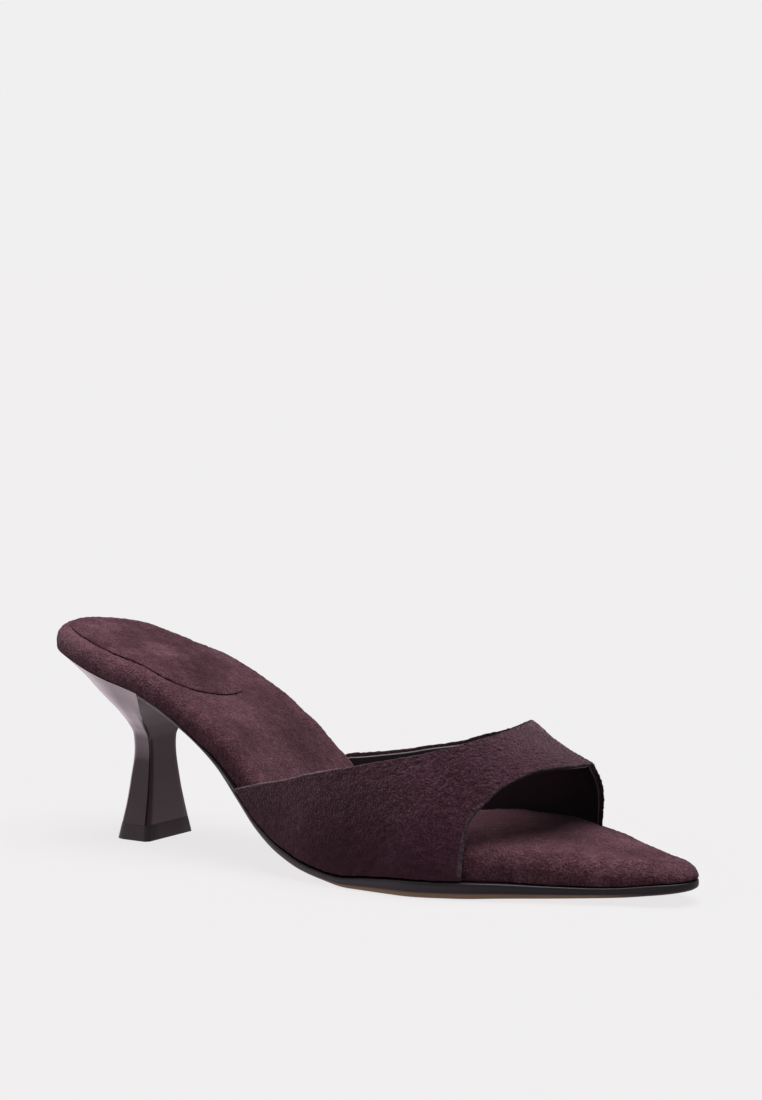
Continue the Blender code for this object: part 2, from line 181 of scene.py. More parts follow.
# A bar of points from one side to the other
def barBetween(mesh, first, second, firstPoint, secondPoint, across, heightAt):
    bar = [first]
    for j in range(1, across):
        share = j / across
        x = firstPoint[0] + (secondPoint[0] - firstPoint[0]) * share
        y = firstPoint[1] + (secondPoint[1] - firstPoint[1]) * share
        bar.append(mesh.verts.new((x, y, heightAt(x, y, share))))
    bar.append(second)
    return bar


# A ring from two flat sides, with every point lifted to the height that heightAt gives
def liftRing(sides, heightAt):
    return [[(x, y, heightAt(x, y)) for x, y in side] for side in sides]


# A closed solid between rings. Each ring is a pair of sides with equal numbers of points.
# acrossLow, acrossHigh and acrossEnds are the strips on its two lids and on its end walls.
def solidFromRings(rings, acrossLow, acrossHigh, lowHeight, highHeight, acrossEnds=1):
    mesh = bmesh.new()
    rows = [[[mesh.verts.new(point) for point in side] for side in ring] for ring in rings]

    def lidBars(row, ring, across, heightAt):
        bars = []
        for i in range(len(ring[0])):
            bars.append(barBetween(mesh, row[0][i], row[1][i], ring[0][i], ring[1][i], across,
                                   lambda x, y, share: heightAt(x, y)))
        for bar, following in zip(bars, bars[1:]):
            for j in range(across):
                mesh.faces.new((bar[j], bar[j + 1], following[j + 1], following[j]))
        return bars

    lowBars = lidBars(rows[0], rings[0], acrossLow, lowHeight)
    highBars = lidBars(rows[-1], rings[-1], acrossHigh, highHeight)
    for low, high in zip(rows, rows[1:]):
        for side in (0, 1):
            for i in range(len(low[side]) - 1):
                mesh.faces.new((low[side][i], low[side][i + 1],
                                high[side][i + 1], high[side][i]))
    for end in (0, -1):
        bars = [lowBars[end]]
        for row, ring in zip(rows[1:-1], rings[1:-1]):
            first, second = ring[0][end], ring[1][end]
            lift = [first[2] + (second[2] - first[2]) * j / acrossEnds
                    for j in range(acrossEnds + 1)]
            bars.append(barBetween(mesh, row[0][end], row[1][end], first, second, acrossEnds,
                                   lambda x, y, share, lift=lift: lift[round(share * acrossEnds)]))
        bars.append(highBars[end])
        for bar, following in zip(bars, bars[1:]):
            if len(bar) == len(following):
                for j in range(len(bar) - 1):
                    mesh.faces.new((bar[j], bar[j + 1], following[j + 1], following[j]))
            else:
                mesh.faces.new(bar + following[::-1])
    return mesh


def addObject(name, data):
    added = bpy.data.objects.new(name, data)
    bpy.context.scene.collection.objects.link(added)
    return added


# An object from a mesh in millimetres that is measured from the back of the heel
def makePiece(name, mesh, material, replacedNode, sharpDegrees=50.0):
    for vert in mesh.verts:
        vert.co.x -= last["treadFromBack"]
        vert.co *= 0.001
    bmesh.ops.remove_doubles(mesh, verts=mesh.verts, dist=0.000001)
    bmesh.ops.recalc_face_normals(mesh, faces=mesh.faces)
    data = bpy.data.meshes.new(name)
    mesh.to_mesh(data)
    mesh.free()
    data.shade_smooth()
    data.set_sharp_from_angle(angle=radians(sharpDegrees))
    data.materials.append(material)
    piece = addObject(name, data)
    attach(piece, "root")
    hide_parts(replacedNode)
    print("made", name, "with", len(data.polygons), "faces")
    return piece


# Moves a mesh's points along their normals: by swell over patches as wide as swellSize, and by
# nap in tufts as wide as napSize, all in mm
def roughenMesh(mesh, sizes):
    napPlace = Vector((31.0, 7.0, 3.0))  # keeps the tufts' pattern apart from the swell's
    mesh.normal_update()
    bmesh.ops.recalc_face_normals(mesh, faces=mesh.faces)
    mesh.normal_update()
    moves = []
    for vert in mesh.verts:
        lift = sizes["swell"] * noise.noise(vert.co / sizes["swellSize"])
        lift += sizes["nap"] * noise.noise(vert.co / sizes["napSize"] + napPlace)
        moves.append(vert.normal * lift)
    for vert, move in zip(mesh.verts, moves):
        vert.co += move


# Colours are given as on a screen and turned to the linear values that Blender's sockets take
def hexColor(code):
    parts = [int(code[i:i + 2], 16) / 255 for i in (1, 3, 5)]
    linear = [part / 12.92 if part <= 0.04045 else ((part + 0.055) / 1.055) ** 2.4
              for part in parts]
    return (*linear, 1.0)


# Adds one node with its inputs and settings, where an input is a value, a socket of another
# node, or a node whose first output is meant
def addNode(tree, kind, inputs=None, settings=None):
    node = tree.nodes.new(kind)
    for name, value in (settings or {}).items():
        setattr(node, name, value)
    for name, value in (inputs or {}).items():
        if isinstance(value, bpy.types.Node):
            value = value.outputs[0]
        if isinstance(value, bpy.types.NodeSocket):
            tree.links.new(value, node.inputs[name])
        else:
            node.inputs[name].default_value = value
    return node


# The colour sockets of a mix node, by number: its two colours, and the one that comes out
mixFirst, mixSecond, mixResult = 6, 7, 2


def newMaterial(name):
    material = bpy.data.materials.new(name)
    material.use_nodes = True
    material.node_tree.nodes.clear()
    return material, material.node_tree


def closeMaterial(material, shader):
    addNode(material.node_tree, "ShaderNodeOutputMaterial", {"Surface": shader})
    return material


# Goat suede, dyed plum and brushed: the short nap gives it a dull face with soft pale and dark
# patches where it lies differently, a fine speckle of tufts, and a pale bloom at its edges. Each
# look also lists round patches of tone, some of them painted shade and painted light.
footbedLook = {
    "darkNap": "#45272f",
    "middleNap": "#623e49",
    "paleNap": "#855c68",
    "tuft": 0.65,  # mm across one tuft, about twice the real one so that it shows
    "mottle": 3.2,  # mm across a cloud of tufts
    "brushStroke": 24.0,  # mm across a patch that was brushed one way
    "strokes": 0.22,  # how far the tone goes up and down over it, out of 1
    "clouds": 0.52,  # its whole swing over a cloud
    "contrast": 0.66,  # its whole swing over a tuft
    "relief": 0.0010,  # metres that a tuft seems to stand up
    "cloudRelief": 0.0006,
    "flatUpTo": -2.0,  # mm above the floor where the nap starts to stand up
    "raisedFrom": -1.0,  # mm above the floor where it stands up fully
    "laidShare": 0.25,  # its share of relief below that
    "bloom": 0.20,  # how pale it gets where seen at a slant
    "bloomSpread": 0.38,
    "bloomTint": "#dcc6cc",
    # Round patches: x, y and radius in mm, then how much paler, or darker where below 0. The first
    # two are painted shade where the band shades the toe, the fifth is painted light on the seat's
    # outer side, and the others make the nap paler or darker in places
    "patches": [(8, 4, 56, -0.56), (22, 34, 34, -0.35), (-62, 4, 24, -0.22),
                (-77, -4, 16, 0.18), (-132, -28, 36, 0.42), (74, -2, 18, -0.18)],
}
padLook = {**footbedLook, "middleNap": "#5f3b46", "brushStroke": 14.0, "patches": [
    (-113, -3.5, 8.5, 0.24), (-134, -4, 9, 0.22), (-95, -7, 12, -0.52),
    (-98, 4, 12, -0.28), (-118, 14, 13, -0.25)]}

# The band is the same suede in darker colours: painted shade for its sides, which face away from
# the top light. Its edges bloom more, and its patch is more painted shade on its outer side.
shadedBandLook = {**footbedLook, "darkNap": "#3a202a", "middleNap": "#50303d", "paleNap": "#6b4756",
            "clouds": 0.40, "contrast": 0.90, "relief": 0.0009,
            "flatUpTo": 6.0, "raisedFrom": 26.0, "bloom": 0.70,
            "patches": [(-6, -38, 46, -0.12)]}

# The band's cut edges are sueded too, and greyer where the dye has worn thin. Their patches are
# painted shade on the far edges and a painted highlight on the near collar's edge.
rimLook = {**shadedBandLook, "darkNap": "#2a1e24", "middleNap": "#4e3c44", "paleNap": "#85727a",
           "contrast": 0.45, "relief": 0.0005, "bloom": 0.30,
           "patches": [(-15, 42, 85, -0.95), (-50, -40, 62, 0.40)]}


def suedeMaterial(name, look):
    broadLow, broadHigh = 0.30, 0.70  # a broad noise lies between these
    tuftLow, tuftHigh = 0.32, 0.68  # and the tufts' noise between these
    material, tree = newMaterial(name)
    place = addNode(tree, "ShaderNodeTexCoord").outputs["Object"]
    plan = addNode(tree, "ShaderNodeVectorMath", {
        0: place, 1: (1000.0, 1000.0, 0.0)}, {"operation": "MULTIPLY"})
    strokes, mottle, tufts = [
        addNode(tree, "ShaderNodeTexNoise", {
            "Vector": place, "Scale": 1000 / look[size], "Detail": detail,
            "Roughness": roughness, "Distortion": distortion})
        for size, detail, roughness, distortion in (
            ("brushStroke", 2.0, 0.55, 0.6), ("mottle", 5.0, 0.72, 0.0), ("tuft", 2.0, 0.65, 0.0))]
    strokeTone, mottleTone = [
        addNode(tree, "ShaderNodeMapRange", {
            "Value": pattern, "From Min": broadLow, "From Max": broadHigh,
            "To Min": -swing, "To Max": swing})
        for pattern, swing in ((strokes, look["strokes"]), (mottle, look["clouds"] / 2))]
    height = addNode(tree, "ShaderNodeSeparateXYZ", {0: place})
    raised = addNode(tree, "ShaderNodeMapRange", {
        "Value": height.outputs["Z"], "From Min": look["flatUpTo"] / 1000,
        "From Max": look["raisedFrom"] / 1000, "To Min": look["laidShare"], "To Max": 1.0})
    swing = addNode(tree, "ShaderNodeMath", {
        0: raised, 1: look["contrast"] / 2}, {"operation": "MULTIPLY"})
    lowest, highest = [addNode(tree, "ShaderNodeMath", {0: 0.5, 1: swing}, {"operation": way})
                       for way in ("SUBTRACT", "ADD")]
    tuftTone = addNode(tree, "ShaderNodeMapRange", {
        "Value": tufts, "From Min": tuftLow, "From Max": tuftHigh,
        "To Min": lowest, "To Max": highest})
    broadTone = addNode(tree, "ShaderNodeMath", {
        0: strokeTone, 1: mottleTone}, {"operation": "ADD"})
    # Each listed patch adds a round patch of tone, which some looks use as painted shade or
    # painted light
    for x, y, radius, paler in look["patches"]:
        away = addNode(tree, "ShaderNodeVectorMath", {
            0: plan, 1: (x, y, 0.0)}, {"operation": "DISTANCE"})
        patchTone = addNode(tree, "ShaderNodeMapRange", {
            "Value": away.outputs["Value"], "From Min": radius, "From Max": 0.0,
            "To Min": 0.0, "To Max": paler}, {"interpolation_type": "SMOOTHSTEP"})
        broadTone = addNode(tree, "ShaderNodeMath", {
            0: broadTone, 1: patchTone}, {"operation": "ADD"})
    tone = addNode(tree, "ShaderNodeMath", {
        0: broadTone, 1: tuftTone}, {"operation": "ADD", "use_clamp": True})
    napColor = addNode(tree, "ShaderNodeValToRGB", {"Fac": tone})
    ramp = napColor.color_ramp
    ramp.elements[0].color = hexColor(look["darkNap"])
    ramp.elements[1].color = hexColor(look["paleNap"])
    ramp.elements.new(0.5).color = hexColor(look["middleNap"])
    cloudRelief = addNode(tree, "ShaderNodeBump", {
        "Strength": 0.40, "Distance": look["cloudRelief"], "Height": mottle})
    tuftRelief = addNode(tree, "ShaderNodeBump", {
        "Strength": raised, "Distance": look["relief"], "Height": tufts,
        "Normal": cloudRelief})
    shader = addNode(tree, "ShaderNodeBsdfPrincipled", {
        "Base Color": napColor.outputs["Color"],
        "Roughness": 0.96,
        "Specular IOR Level": 0.12,
        "Sheen Weight": look["bloom"],
        "Sheen Roughness": look["bloomSpread"],
        "Sheen Tint": hexColor(look["bloomTint"]),
        "Normal": tuftRelief})
    return closeMaterial(material, shader)


# Kid lining, finished smooth and dyed black: it takes a soft sheen and shows only fine pores.
liningLook = {
    "leather": "#352c32",
    "pore": 0.7,  # mm between pores, wider than real so that they show
    "wearPatch": 11.11,  # mm across a worn patch
    "smoothest": 0.25,  # roughness
    "dullest": 0.41,
}


def liningMaterial(name, look):
    material, tree = newMaterial(name)
    place = addNode(tree, "ShaderNodeTexCoord").outputs["Object"]
    pores = addNode(tree, "ShaderNodeTexVoronoi", {
        "Vector": place, "Scale": 1000 / look["pore"], "Smoothness": 0.6},
        {"feature": "SMOOTH_F1"})
    wear = addNode(tree, "ShaderNodeTexNoise", {
        "Vector": place, "Scale": 1000 / look["wearPatch"], "Detail": 3.0, "Roughness": 0.6})
    roughness = addNode(tree, "ShaderNodeMapRange", {
        "Value": wear, "To Min": look["smoothest"], "To Max": look["dullest"]})
    relief = addNode(tree, "ShaderNodeBump", {
        "Strength": 0.2, "Distance": 0.0001, "Height": pores.outputs["Distance"]})
    shader = addNode(tree, "ShaderNodeBsdfPrincipled", {
        "Base Color": hexColor(look["leather"]),
        "Roughness": roughness,
        "Specular IOR Level": 0.6,
        "Normal": relief})
    return closeMaterial(material, shader)


# Sole leather, cut and burnished: its side is painted black with a satin gloss. Its underside
# stays tan, and under the tread the tan comes up round the lower edge.
soleLook = {
    "edgePaint": "#2c252b",
    "tanLeather": "#cda98d",
    "tanDark": "#ad8467",
    "fibre": 0.9,  # mm across a bundle of fibres, drawn coarser than real
    "scuff": 9.0,  # mm across a scuffed patch
    "paintRoughness": 0.30,
    "tanRoughness": 0.60,
    "tanFrom": -16.0,  # mm in front of the origin
    "tanTo": 58.0,
    "tanFade": 14.0,  # mm over which it comes and goes
    "waistFrom": -30.0,  # behind this the underside slopes, and all of it is tan
    "waistTo": -44.0,
    "highlightColor": "#988b93",
    "highlightFrom": -84.0,  # the thin end at the heel's breast has a pale painted highlight
    "highlightTo": -97.0,
}


def soleMaterial(name, look):
    material, tree = newMaterial(name)
    place = addNode(tree, "ShaderNodeTexCoord").outputs["Object"]
    facing = addNode(tree, "ShaderNodeSeparateXYZ", {
        0: addNode(tree, "ShaderNodeNewGeometry").outputs["Normal"]})
    fibres = addNode(tree, "ShaderNodeTexNoise", {
        "Vector": place, "Scale": 1000 / look["fibre"], "Detail": 3.0, "Roughness": 0.6})
    scuffs = addNode(tree, "ShaderNodeTexNoise", {
        "Vector": place, "Scale": 1000 / look["scuff"], "Detail": 4.0, "Roughness": 0.65})
    tan = addNode(tree, "ShaderNodeMix", {
        "Factor": scuffs, mixFirst: hexColor(look["tanDark"]),
        mixSecond: hexColor(look["tanLeather"])}, {"data_type": "RGBA"})
    along = addNode(tree, "ShaderNodeSeparateXYZ", {0: place})
    alongX, facingZ = along.outputs["X"], facing.outputs["Z"]
    # By place along the shoe or by how far a face looks down: the tan's two ends, the rounded
    # lower edge, the flat bottom, the slope, the waist and the painted highlight on the thin end
    tanStart, tanEnd, rounded, bottom, sloped, atWaist, edgeHighlight = [
        addNode(tree, "ShaderNodeMapRange", {"Value": value, "From Min": start, "From Max": end})
        for value, start, end in (
            (alongX, (look["tanFrom"] - look["tanFade"]) / 1000, look["tanFrom"] / 1000),
            (alongX, (look["tanTo"] + look["tanFade"]) / 1000, look["tanTo"] / 1000),
            (facingZ, -0.10, -0.38), (facingZ, -0.88, -0.97), (facingZ, -0.40, -0.55),
            (alongX, look["waistFrom"] / 1000, look["waistTo"] / 1000),
            (alongX, look["highlightFrom"] / 1000, look["highlightTo"] / 1000))]
    tread = addNode(tree, "ShaderNodeMath", {0: tanStart, 1: tanEnd}, {"operation": "MULTIPLY"})
    lowerEdge, waist = [
        addNode(tree, "ShaderNodeMath", {0: first, 1: second}, {"operation": "MULTIPLY"})
        for first, second in ((rounded, tread), (sloped, atWaist))]
    tanShare = addNode(tree, "ShaderNodeMath", {
        0: lowerEdge, 1: bottom}, {"operation": "MAXIMUM"})
    under = addNode(tree, "ShaderNodeMath", {
        0: tanShare, 1: waist}, {"operation": "MAXIMUM"})
    # A painted highlight turns the edge paint pale at the thin end
    edge = addNode(tree, "ShaderNodeMix", {
        "Factor": edgeHighlight, mixFirst: hexColor(look["edgePaint"]),
        mixSecond: hexColor(look["highlightColor"])}, {"data_type": "RGBA"})
    color = addNode(tree, "ShaderNodeMix", {
        "Factor": under, mixFirst: edge.outputs[mixResult],
        mixSecond: tan.outputs[mixResult]}, {"data_type": "RGBA"})
    roughness = addNode(tree, "ShaderNodeMapRange", {
        "Value": under, "To Min": look["paintRoughness"],
        "To Max": look["tanRoughness"]})
    relief = addNode(tree, "ShaderNodeBump", {
        "Strength": 0.25, "Distance": 0.00015, "Height": fibres})
    shader = addNode(tree, "ShaderNodeBsdfPrincipled", {
        "Base Color": color.outputs[mixResult],
        "Roughness": roughness,
        "Specular IOR Level": 0.5,
        "Normal": relief})
    return closeMaterial(material, shader)


# ABS heel block, moulded and sprayed with plum-black lacquer: a deep colour under a hard clear
# gloss, with the faint waves of sprayed paint, and painted shade in a dark line at each corner of
# the breast, where the gloss is taken off too.
heelLook = {
    "paint": "#5f4852",
    # The colour of the painted shade at the breast's corners
    "creaseShade": "#1c1518",
    "wave": 14.0,  # mm from wave to wave of the coat
    "orangePeel": 1.1,  # mm from dimple to dimple of its skin
    "glossiest": 0.20,  # roughness
    "dullest": 0.30,
    "coatRoughness": 0.09,
}


def heelMaterial(name, look):
    material, tree = newMaterial(name)
    place = addNode(tree, "ShaderNodeTexCoord").outputs["Object"]
    waves = addNode(tree, "ShaderNodeTexNoise", {
        "Vector": place, "Scale": 1000 / look["wave"], "Detail": 1.0})
    peel = addNode(tree, "ShaderNodeTexNoise", {
        "Vector": place, "Scale": 1000 / look["orangePeel"], "Detail": 1.0})
    roughness = addNode(tree, "ShaderNodeMapRange", {
        "Value": waves, "To Min": look["glossiest"], "To Max": look["dullest"]})
    waveRelief = addNode(tree, "ShaderNodeBump", {
        "Strength": 0.06, "Distance": 0.0006, "Height": waves})
    peelRelief = addNode(tree, "ShaderNodeBump", {
        "Strength": 0.04, "Distance": 0.00008, "Height": peel,
        "Normal": waveRelief})
    facing = addNode(tree, "ShaderNodeSeparateXYZ", {
        0: addNode(tree, "ShaderNodeNewGeometry").outputs["Normal"]})
    # Painted shade at the crease, which lies between the faces that look sideways and those that
    # look forward
    sideEnd, breastStart = [
        addNode(tree, "ShaderNodeMapRange", {
            "Value": facing.outputs["X"], "From Min": start, "From Max": end})
        for start, end in ((0.30, 0.48), (0.84, 0.66))]
    creaseShade = addNode(tree, "ShaderNodeMath", {
        0: sideEnd, 1: breastStart}, {"operation": "MULTIPLY"})
    color = addNode(tree, "ShaderNodeMix", {
        "Factor": creaseShade, mixFirst: hexColor(look["paint"]),
        mixSecond: hexColor(look["creaseShade"])}, {"data_type": "RGBA"})
    gloss = addNode(tree, "ShaderNodeMath", {
        0: 1.0, 1: creaseShade}, {"operation": "SUBTRACT"})
    shader = addNode(tree, "ShaderNodeBsdfPrincipled", {
        "Base Color": color.outputs[mixResult],
        "Roughness": roughness,
        "Specular IOR Level": 0.2,
        "Coat Weight": gloss,
        "Coat Roughness": look["coatRoughness"],
        "Normal": peelRelief})
    return closeMaterial(material, shader)


# Top-lift rubber, moulded and trimmed: near black and satin, with fine trimming marks.
liftLook = {
    "rubber": "#41353b",
    "trimMark": 0.5,  # mm from mark to mark
    "smoothest": 0.34,  # roughness
    "dullest": 0.50,
}


def liftMaterial(name, look):
    material, tree = newMaterial(name)
    place = addNode(tree, "ShaderNodeTexCoord").outputs["Object"]
    marks = addNode(tree, "ShaderNodeTexNoise", {
        "Vector": place, "Scale": 1000 / look["trimMark"], "Detail": 2.0})
    roughness = addNode(tree, "ShaderNodeMapRange", {
        "Value": marks, "To Min": look["smoothest"], "To Max": look["dullest"]})
    relief = addNode(tree, "ShaderNodeBump", {
        "Strength": 0.15, "Distance": 0.0001, "Height": marks})
    shader = addNode(tree, "ShaderNodeBsdfPrincipled", {
        "Base Color": hexColor(look["rubber"]),
        "Roughness": roughness,
        "Normal": relief})
    return closeMaterial(material, shader)


footbedNap = suedeMaterial("plum goat suede, brushed", footbedLook)
padNap = suedeMaterial("plum goat suede, brushed pad", padLook)
# The band's suede is painted darker as shade
shadedBandNap = suedeMaterial("plum goat suede, darker as painted shade", shadedBandLook)
rimNap = suedeMaterial("plum goat suede, cut edge", rimLook)
kidLining = liningMaterial("black kid lining, smooth", liningLook)
# The lining's collar edge is painted pale grey: a painted highlight along its rolled edge
kidEdgeHighlight = liningMaterial("black kid lining, edge painted pale as a highlight", {**liningLook, "leather": "#8c898b"})
soleLeather = soleMaterial("sole leather, burnished edge", soleLook)
heelLacquer = heelMaterial("ABS heel, sprayed plum lacquer", heelLook)
liftRubber = liftMaterial("top lift rubber, moulded", liftLook)
print("materials made")


# Outsole: thin at the waist and about 5 mm at the tread, with a rounded lower edge
outsole = {
    "waistThickness": 1.0,
    "treadThickness": 4.0,
    "bevel": 2.6,  # width of the rounded lower edge
    "bevelRise": 0.45,  # share of the thickness that the rounded edge takes
    "bevelSteps": 8,
    # The side above the rounded edge: inset in mm, then the share of the thickness
    "sideSteps": [(0.0, 0.70), (0.04, 0.90), (0.20, 0.98), (0.45, 1.0)],
    "skive": 12.0,  # length over which it thins out onto the seat
    "breastFromBack": 47.0,
    "stations": 260,
}
waistThick, treadThick = outsole["waistThickness"], outsole["treadThickness"]
breastX = outsole["breastFromBack"]
outsoleRows = [
    (0.00, waistThick), (0.30, waistThick), (0.34, waistThick),
    (0.38, 0.41 * treadThick), (0.42, 0.51 * treadThick), (0.46, 0.63 * treadThick),
    (0.50, 0.70 * treadThick), (0.54, 0.70 * treadThick), (0.58, 0.88 * treadThick),
    (0.62, 1.12 * treadThick), (0.67, 1.30 * treadThick), (0.73, 1.30 * treadThick),
    (0.78, 1.20 * treadThick), (0.84, treadThick), (0.92, 0.80 * treadThick),
    (0.97, 0.80 * treadThick), (1.00, 0.70 * treadThick),
]
outsoleHeight = smoothCurve(outsoleRows, 1, length)


def outsoleThickness(x):
    laid = min(1.0, max(0.0, (x - breastX) / outsole["skive"] + 1))
    return outsoleHeight(x) * laid * steepnessAt(x)


def makeOutsole():
    places = evenPlaces(breastX + clear, length, outsole["stations"])
    edgeSteps = []
    for step in range(outsole["bevelSteps"] + 1):
        turn = step / outsole["bevelSteps"] * pi / 2
        edgeSteps.append((outsole["bevel"] * (1 - sin(turn)),
                          outsole["bevelRise"] * (1 - cos(turn))))
    rings = []
    for inset, rise in edgeSteps + outsole["sideSteps"]:
        sides = outlineSides(soleHalf, places, inset)
        rings.append(liftRing(sides, lambda x, y: undersideAt(x) + rise * outsoleThickness(x)))
    mesh = solidFromRings(rings, 2, 2, lambda x, y: undersideAt(x),
                          lambda x, y: undersideAt(x) + outsoleThickness(x))
    makePiece("outsoleLeather", mesh, soleLeather, "outsole")


# Footbed: board and foam wrapped in suede, with a rounded top edge and a crowned top
footbed = {
    "seatEdge": 7.0,
    "treadEdge": 8.4,
    "toeEdge": 3.2,
    "round": 4.8,
    "roundShare": 0.8,  # the most of the side that the rounded edge takes
    "roundSteps": 10,
    # The turned lower edge: inset and rise in mm
    "lowerSteps": [(0.5, 0.0), (0.12, 0.15), (0.0, 0.5)],
    "crown": 2.6,
    "upperWall": 1.8,
    "fill": 0.8,
    "swell": 0.22, "swellSize": 13.0, "nap": 0.26, "napSize": 1.3,
    "stations": 420,
    "across": 64,
}
seatEdge, treadEdge, toeEdge = footbed["seatEdge"], footbed["treadEdge"], footbed["toeEdge"]

# Place along the shoe, thickness of the side, crown's share, share of the upper's wall taken off
footbedRows = [
    (0.00, seatEdge, 0.2, 0.0),
    (0.06, seatEdge, 0.2, 0.0),
    (0.12, seatEdge, 0.3, 0.0),
    (0.30, seatEdge, 0.3, 0.0),
    (0.34, seatEdge, 0.3, 0.5),
    (0.38, 0.86 * treadEdge, 0.3, 0.9),
    (0.42, 0.92 * treadEdge, 0.4, 1.0),
    (0.46, 0.97 * treadEdge, 0.6, 1.0),
    (0.50, 1.05 * treadEdge, 0.8, 1.0),
    (0.54, 1.09 * treadEdge, 1.0, 1.0),
    (0.58, 1.12 * treadEdge, 1.0, 1.0),
    (0.62, 1.12 * treadEdge, 1.0, 1.0),
    (0.67, 1.14 * treadEdge, 1.0, 1.0),
    (0.73, 1.14 * treadEdge, 1.0, 1.0),
    (0.78, 1.10 * treadEdge, 1.0, 1.0),
    (0.84, 1.01 * treadEdge, 0.9, 0.3),
    (0.92, 0.78 * treadEdge, 0.7, 0.2),
    (0.97, 1.35 * toeEdge, 0.5, 0.2),
    (1.00, toeEdge, 0.3, 0.2),
]
edgeHeight = smoothCurve(footbedRows, 1, length)
crownShare = smoothCurve(footbedRows, 2, length)
lastingShare = smoothCurve(footbedRows, 3, length)


def footbedHalf(x, side):
    taken = lastingShare(x) * (footbed["upperWall"] + clear)
    return soleHalf(x, side) * (1 - taken / sideWidth(x, side))


def footbedBase(x):
    return undersideAt(x) + outsoleThickness(x) + clear


def footbedEdge(x):
    return edgeHeight(x) * steepnessAt(x)


def crownAt(x, y):
    half = max(footbedHalf(x, -1 if y < 0 else 1), clear)
    return footbed["crown"] * crownShare(x) * max(0.0, 1 - (y / half) ** 2)


def footbedTop(x, y):
    return footbedBase(x) + footbedEdge(x) + crownAt(x, y)


def makeFootbed():
    places = evenPlaces(0.0, length, footbed["stations"])
    rings = []
    for inset, rise in footbed["lowerSteps"]:
        sides = outlineSides(footbedHalf, places, inset)
        rings.append(liftRing(sides, lambda x, y: footbedBase(x) + rise))

    def roundedHeight(x, y):
        reach = min(footbed["round"], footbed["roundShare"] * footbedEdge(x))
        return footbedTop(x, y) - reach * (1 - sin(angle))

    for step in range(footbed["roundSteps"] + 1):
        angle = step / footbed["roundSteps"] * pi / 2
        sides = outlineSides(footbedHalf, places, footbed["round"] * (1 - cos(angle)))
        rings.append(liftRing(sides, roundedHeight))
    mesh = solidFromRings(rings, 2, footbed["across"], lambda x, y: footbedBase(x), footbedTop)
    roughenMesh(mesh, footbed)
    piece = makePiece("footbedSuede", mesh, footbedNap, "footbed")


# Heel pad: a thin oval of the same suede on the seat
heelPad = {
    "thickness": 0.9,
    "inset": 5.0,
    "skew": 9.0,  # how much further in its inner edge lies in front
    "front": 68.5,
    "backRound": 26.0,
    "frontRound": 17.0,
    # Its domed edge: inset in mm, then the share of the thickness
    "edgeSteps": [(0.0, 0.0), (0.0, 0.12), (0.10, 0.28), (0.35, 0.42), (0.9, 0.58),
                  (1.8, 0.74), (3.0, 0.88), (4.5, 0.97), (6.0, 1.0)],
    "fill": 0.7,
    "swell": 0.15, "swellSize": 13.0, "nap": 0.18, "napSize": 1.1,
    "stations": 150,
    "across": 80,
}


def padHalf(x, side):
    skew = 0.0 if side < 0 else heelPad["skew"] * (x / heelPad["front"]) ** 2
    back = endRounding(x - heelPad["inset"], heelPad["backRound"])
    front = endRounding(heelPad["front"] - x, heelPad["frontRound"])
    return (sideWidth(x, side) - skew - heelPad["inset"]) * back * front


def makeHeelPad():
    places = crowdedPlaces(heelPad["inset"], heelPad["front"], heelPad["stations"])

    def padBase(x, y):
        return footbedTop(x, y) + clear

    rings = []
    for inset, share in heelPad["edgeSteps"]:
        rise = share * heelPad["thickness"]
        sides = outlineSides(padHalf, places, inset)
        rings.append(liftRing(sides, lambda x, y: padBase(x, y) + rise))
    mesh = solidFromRings(rings, 2, heelPad["across"], padBase,
                          lambda x, y: padBase(x, y) + heelPad["thickness"])
    roughenMesh(mesh, heelPad)
    piece = makePiece("heelPadSuede", mesh, padNap, "heel_pad")


# Upper: one band of suede over the forefoot, folded over at its edges, with a thin lining
upper = {
    "wall": 1.8,
    "suede": 0.95,  # thickness of the suede with its fold
    "lining": 0.85,
    "foldReach": 0.4,  # how far the folded edge rounds out past the band's edge
    "liningReach": 0.45,
    "liningBack": 0.9,  # how far the lining stops short of the fold
    "toeRim": 0.7,  # how far the cut edge shows beside the toe opening
    "edgeSteps": 8,
    "swell": 0.16, "swellSize": 15.0, "nap": 0.24, "napSize": 1.1,
    "turns": 300,
    "steps": 100,
}

# Place along the shoe, height of the ridge over the forefoot
instep = last["instepHeight"]
ridgeRows = [
    (0.380, 1.800 * instep), (0.500, 1.600 * instep), (0.590, 1.370 * instep),
    (0.645, 1.215 * instep), (0.690, 1.095 * instep), (0.725, instep),
    (0.748, 0.922 * instep), (0.774, 0.866 * instep), (0.800, 0.818 * instep),
    (0.830, 0.768 * instep), (0.863, 0.722 * instep), (0.900, 0.690 * instep),
]

# Turn round the arch from the outer foot to the inner one, then the collar's and the toe
# edge's places along the shoe
bandRows = [
    (0.000, 0.378, 0.742), (0.050, 0.425, 0.743), (0.095, 0.486, 0.744), (0.130, 0.540, 0.746),
    (0.170, 0.600, 0.754), (0.200, 0.637, 0.762), (0.240, 0.673, 0.770), (0.295, 0.705, 0.785),
    (0.350, 0.725, 0.799), (0.415, 0.736, 0.818), (0.480, 0.739, 0.831), (0.540, 0.736, 0.833),
    (0.600, 0.727, 0.824), (0.640, 0.719, 0.817), (0.680, 0.704, 0.811), (0.720, 0.686, 0.807),
    (0.780, 0.650, 0.804), (0.845, 0.582, 0.798), (0.895, 0.501, 0.792), (0.930, 0.443, 0.788),
    (0.965, 0.400, 0.784), (1.000, 0.372, 0.780),
]
ridgeHeight = smoothCurve(ridgeRows, 1, length)
collarPlace = smoothCurve(bandRows, 1)
toePlace = smoothCurve(bandRows, 2)


